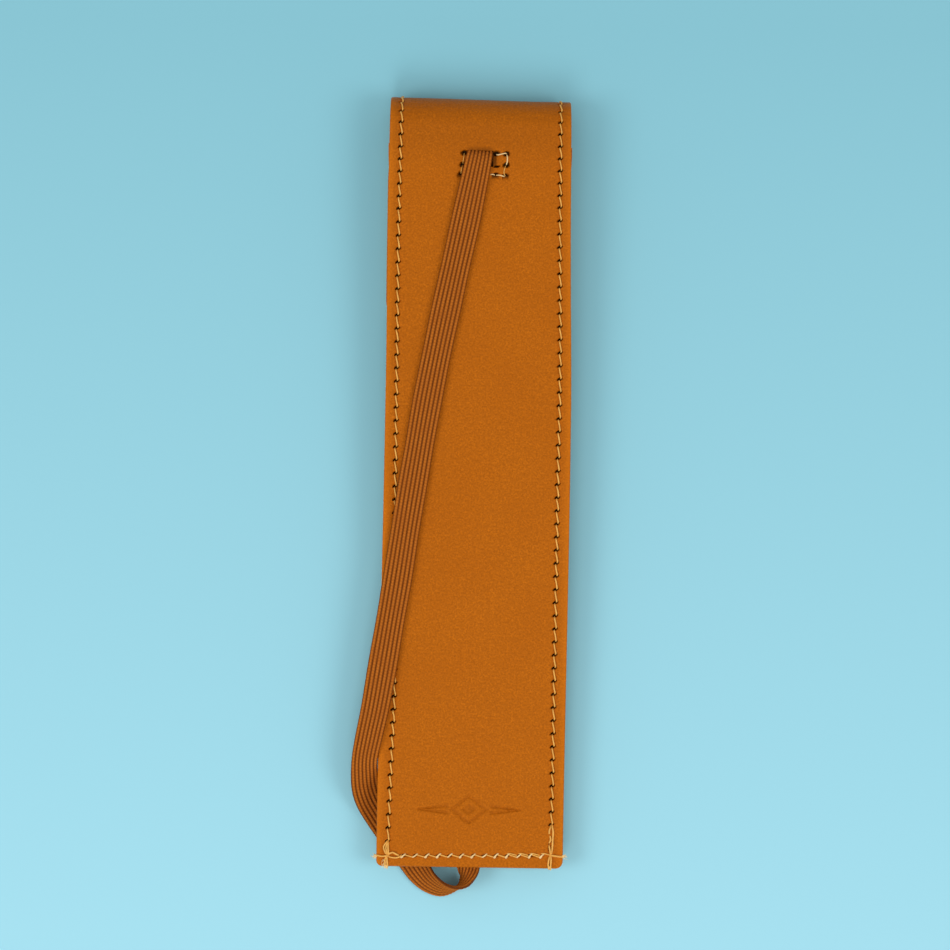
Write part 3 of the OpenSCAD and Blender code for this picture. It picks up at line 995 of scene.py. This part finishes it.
def proud(s):
    """Height of the middle of a stitch above the leather: flush where the flap lies on the table."""
    return 0.13 - 0.36 * float(smooth((s - 13) / 6))


def under_face(s):
    """Height of the inner side at a seam: the pocket's outer face, or the lining beyond its mouth."""
    return -STACK_T if s < MOUTH - 0.5 else -STRIP_T


def stitch(threads, a, b):
    """One stitch from hole a to hole b on the outer face, and the one behind it."""
    turn = (a[2] + b[2]) / 2
    gap = math.hypot(b[0] - a[0], b[1] - a[1])
    top = proud((a[1] + b[1]) / 2) + random.uniform(-0.02, 0.03)
    sway = random.uniform(-0.05, 0.05)
    threads.strand(
        [
            local(a, turn, 0.2, 0.1, top - 1.1),
            local(a, turn, 0.26, 0.22, top - 0.3),
            local(a, turn, 0.25, 0.48, top - 0.03),
            local(a, turn, 0.07 + sway, gap / 2, top),
            local(b, turn, -0.1, -0.64, top - 0.03),
            local(b, turn, -0.13, -0.4, top - 0.3),
            local(b, turn, -0.14, -0.28, top - 1.1),
        ]
    )
    low_a, low_b = under_face(a[1]), under_face(b[1])
    if low_a != low_b:
        return
    low = low_a - 0.08
    threads.strand(
        [
            local(a, turn, -0.2, 0.05, low + 0.7),
            local(a, turn, -0.2, 0.3, low + 0.05),
            local(a, turn, 0, gap / 2, low),
            local(b, turn, 0.2, -0.3, low + 0.05),
            local(b, turn, 0.2, -0.05, low + 0.7),
        ]
    )


def side_threads(name, side, node):
    """One side's seam from the bottom up to the last hole below the top of the fold."""
    threads = Threads()
    holes = [h for h in HOLES[side] if h[3] <= APEX]
    for a, b in zip(holes[:-1], holes[1:]):
        stitch(threads, a, b)
    corner_strands(threads, side)
    piece = threads.piece(name)
    across_fold(piece, True)
    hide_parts(node, "spine_thread")


# Strands of the two back-stitched corners, from the seams' crossing: outwards, upwards, height.
LEFT_STRANDS = [
    [(0, 3.15, -0.5), (0.35, 2.75, 0.1), (0.85, 1.9, 0.3), (0.45, 0.8, 0.3), (-0.1, 0.1, -0.2)],
    [(-0.05, 3.1, -0.5), (0.1, 2.6, 0.15), (0.3, 1.7, 0.42), (0.05, 0.8, 0.4), (-0.15, 0.05, -0.2)],
    [(-0.1, 3.1, -0.5), (-0.15, 2.5, 0.1), (-0.2, 1.5, 0.3), (-0.3, 0.7, 0.3), (-0.35, 0, -0.2)],
    [(-0.3, 0.1, -0.2), (0, 0, 0.3), (1.2, -0.1, 0.28), (2.2, 0.05, 0.15), (2.75, 0.1, -0.15),
     (2.9, 0.05, -1)],
    [(-0.1, 0, -0.2), (-0.5, 0.45, 0.25), (-1.2, 0.7, 0.3), (-2, 0.3, 0.2), (-2.5, 0, -0.3)],
    [(-0.1, -0.1, -0.2), (-0.9, -0.35, 0.3), (-1.9, -0.45, 0.3), (-2.7, -0.2, 0.2), (-3, 0.1, -0.3)],
    [(-0.1, 0, -0.2), (0, -0.5, 0.25), (-0.1, -1.5, 0.25), (-0.15, -2.3, 0.12),
     (-0.15, -2.72, -0.4), (-0.15, -2.78, -1.4)],
    [(0.1, 0, -0.2), (0.35, -0.6, 0.25), (0.45, -1.5, 0.25), (0.4, -2.3, 0.12),
     (0.35, -2.72, -0.4), (0.35, -2.78, -1.4)],
]
RIGHT_STRANDS = [
    [(0.2, 6.9, -0.6), (0.25, 6.5, 0.05), (0.45, 5.2, 0.15), (0.4, 3.5, 0.2), (0.35, 1.6, 0.2),
     (0.15, 0.1, -0.2)],
    [(-0.1, 6.7, -0.6), (-0.15, 6.3, 0.05), (-0.35, 5.6, 0.12), (-0.35, 4.95, 0), (-0.35, 4.8, -0.6)],
    [(-0.3, 4.5, -0.6), (-0.15, 4.2, 0.08), (-0.05, 3.6, 0.15), (-0.25, 3, 0.08), (-0.35, 2.75, -0.5)],
    [(-0.3, 2.4, -0.5), (-0.3, 2, 0.1), (-0.1, 1, 0.25), (0, 0.1, -0.2)],
    [(-0.1, 0, -0.2), (0.4, 0.05, 0.25), (1.4, -0.1, 0.22), (2.2, -0.2, 0.1), (2.7, -0.25, -0.3),
     (2.78, -0.3, -1.2)],
    [(-0.05, -0.1, -0.2), (-0.3, -0.6, 0.25), (-0.45, -1.6, 0.2), (-0.4, -2.3, 0.1),
     (-0.3, -2.7, -0.4), (-0.3, -2.76, -1.3)],
    [(0.05, -0.1, -0.2), (0.15, -0.6, 0.25), (0.1, -1.6, 0.25), (0.05, -2.3, 0.1),
     (0, -2.7, -0.4), (0, -2.76, -1.3)],
]
FIBRE_R = 0.055


def fibres(threads, x, s, spread, heading, reach, count):
    """Frayed ends: thin loose fibres round (x, s) that all reach in about the same direction."""
    for _ in range(count):
        a = math.radians(heading + random.uniform(-38, 38))
        far = reach * random.uniform(0.6, 1.1)
        start_x, start_s = x + random.uniform(-1, 1) * spread[0], s + random.uniform(-1, 1) * spread[1]
        curl = random.uniform(-0.25, 0.25)
        side_x, side_s = -math.sin(a) * curl, math.cos(a) * curl
        step_x, step_s = math.cos(a) * far, math.sin(a) * far
        lift = random.uniform(0.12, 0.3)
        threads.strand(
            [(start_x, start_s, 0.05),
             (start_x + step_x * 0.5 + side_x, start_s + step_s * 0.5 + side_s, lift),
             (start_x + step_x, start_s + step_s, lift - random.uniform(0.05, 0.5))],
            radius=FIBRE_R, pale=True, plies=1, taper=0.5,
        )


def corner_strands(threads, side):
    """The back-stitched corner: doubled loops above the bottom seam and strands over the edges."""
    x = side * SEAM_X
    for strand in LEFT_STRANDS if side < 0 else RIGHT_STRANDS:
        threads.strand([(x + side * dx, SEAM_S + ds, h) for dx, ds, h in strand], radius=0.21)
    out = 180 if side < 0 else 0
    fibres(threads, x + side * 2.5, SEAM_S - 0.1, (0.2, 0.2), out, 1.1, 12)
    if side < 0:
        fibres(threads, x - 0.35, SEAM_S - 1.6, (0.5, 0.9), 258, 1.1, 34)
        fibres(threads, x - 0.2, SEAM_S - 2.3, (0.5, 0.15), 265, 0.9, 14)
    else:
        fibres(threads, x - 0.1, SEAM_S - 2.2, (0.3, 0.2), 265, 0.7, 10)


def flap_threads():
    threads = Threads()
    for side in (-1, 1):
        holes = [h for h in HOLES[side] if h[3] > APEX - FOLD_PITCH]
        middle = next(i for i, h in enumerate(holes) if side * h[0] < PITCH / 2 and h[3] > FOLD_END)
        for a, b in zip(holes[:middle], holes[1 : middle + 1]):  # the first crosses the fold's top
            stitch(threads, a, b)
    piece = threads.piece("thread_flap")
    across_fold(piece, False)
    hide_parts("flap_thread")


def bottom_threads():
    """The bottom seam: a thin thread that rises to a pale tight stitch at every hole."""
    threads = Threads()
    step = BOTTOM_X[1] - BOTTOM_X[0]
    for k, x in enumerate(BOTTOM_X):
        lift = random.uniform(-0.08, 0.08)
        if k < len(BOTTOM_X) - 1:
            threads.strand(
                [(x + 0.42, SEAM_S + 0.2, 0), (x + 0.75, SEAM_S + 0.08, 0.08),
                 (x + step * 0.55, SEAM_S - 0.1, 0.1),
                 (x + step - 0.75, SEAM_S - 0.24, 0.08), (x + step - 0.4, SEAM_S - 0.25, -0.1)],
                radius=0.15,
            )
        threads.strand(
            [(x - 0.5, SEAM_S - 0.34, -0.25), (x - 0.36, SEAM_S - 0.28, 0.1),
             (x, SEAM_S + 0.02 + lift, 0.26),
             (x + 0.36, SEAM_S + 0.34 + lift, 0.2), (x + 0.55, SEAM_S + 0.38, -0.3)],
            radius=0.18,
            pale=True,
        )
        if k % 3 != 1:
            threads.strand(
                [(x - 0.05, SEAM_S - 0.1, -0.2), (x - 0.12, SEAM_S - 0.25, 0.18),
                 (x - 0.3, SEAM_S - 0.42, 0.2),
                 (x - 0.36, SEAM_S - 0.46, -0.25)],
                radius=0.2,
                pale=True,
            )
    for k, x in enumerate(BOTTOM_X[-4:]):
        threads.strand(
            [(x - 0.2, SEAM_S + 0.4, -0.2), (x + 0.4, SEAM_S + 0.5, 0.16), (x + 1.3, SEAM_S + 0.3, 0.18),
             (x + 2, SEAM_S + 0.05, -0.1)],
            radius=0.14,
        )
    piece = threads.piece("thread_bottom")
    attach(piece, "sleeve")
    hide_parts("bottom_seam_thread")


def anchor_threads():
    """The short stitches round the band's window, between large needle holes."""
    threads = Threads()
    # The left column's two strands are in the darker gold thread, as painted shade beside the band.
    gold = [
        [(-3.5, -5.9, -0.5), (-3.56, -6.5, 0.02), (-3.7, -7.4, 0.04), (-3.76, -8, -0.5)],
        [(-3.85, -8.5, -0.5), (-3.95, -8.9, 0.06), (-4.1, -9.6, 0.08), (-4.14, -10.1, -0.5)],
        [(5.6, -8.3, -0.5), (5.42, -8.8, 0.06), (5.25, -9.6, 0.1), (5.38, -10.2, 0), (5.55, -10.4, -0.5)],
    ]
    pale = [
        [(3.6, -5.95, -0.4), (4, -5.98, 0.08), (4.9, -5.75, 0.12), (5.5, -5.62, 0.05), (5.75, -5.65, -0.5)],
        [(5.85, -5.95, -0.5), (5.95, -6.4, 0.06), (5.95, -7.3, 0.12), (5.82, -7.85, 0), (5.75, -8, -0.5)],
        [(5.35, -10.55, -0.5), (5, -10.48, 0.06), (4.4, -10.35, 0.12), (3.95, -10.32, 0.04),
         (3.65, -10.35, -0.5)],
        [(3.2, -10.3, -0.5), (2.95, -10.2, 0.08), (2.5, -10.2, 0.08), (2.1, -10.35, -0.4)],
    ]
    for knots in gold:
        threads.strand(knots, radius=0.11)
    for knots in pale:
        threads.strand(knots, radius=0.15, pale=True)
    piece = threads.piece("thread_anchor")
    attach(piece, "sleeve")
    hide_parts("band_anchor_thread")


side_threads("thread_left", -1, "left_seam_thread")
side_threads("thread_right", 1, "right_seam_thread")
flap_threads()
bottom_threads()
anchor_threads()


# ---- floor and light ----


def floor():
    mesh = bpy.data.meshes.new("floor")
    corners = [(-2, -2, 0), (2, -2, 0), (2, 2, 0), (-2, 2, 0)]
    mesh.from_pydata(corners, [], [(0, 1, 2, 3)])
    n = Nodes("floor_paper")
    place = n.add("ShaderNodeSeparateXYZ", {0: n.add("ShaderNodeNewGeometry").outputs["Position"]})
    # Painted shade: the paper is darker towards +Y, away from the key light.
    painted_falloff_towards_fold = n.ramp(place.outputs["Y"], -0.1, 0.1)
    n.put(n.shader.inputs["Base Color"], n.mix(painted_falloff_towards_fold, (0.36, 0.72, 0.84), (0.245, 0.565, 0.665)))
    n.put(n.shader.inputs["Roughness"], 0.9)
    mesh.materials.append(n.material)
    plane = bpy.data.objects.new("floor", mesh)
    bpy.context.scene.collection.objects.link(plane)


def area_light(name, place, target, size, power, colour):
    data = bpy.data.lights.new(name, "AREA")
    data.shape = "DISK"
    data.size = size
    data.energy = power
    data.color = colour
    lamp = bpy.data.objects.new(name, data)
    lamp.location = place
    lamp.rotation_euler = (Vector(target) - Vector(place)).to_track_quat("-Z", "Y").to_euler()
    bpy.context.scene.collection.objects.link(lamp)


floor()
area_light("key", (-0.12, -0.75, 0.95), (0, 0, 0), 0.55, 3.3, (1, 0.985, 0.96))
area_light("left", (-0.75, -0.15, 0.9), (0, 0, 0), 0.6, 3.4, (1, 0.99, 0.97))
area_light("right", (0.75, -0.15, 0.9), (0, 0, 0), 0.6, 3.0, (1, 0.99, 0.97))
world = bpy.data.worlds.new("studio")
world.use_nodes = True
world.node_tree.nodes["Background"].inputs["Color"].default_value = (0.97, 0.98, 1, 1)
world.node_tree.nodes["Background"].inputs["Strength"].default_value = 0.53
bpy.context.scene.world = world
bpy.context.scene.view_settings.view_transform = "Standard"
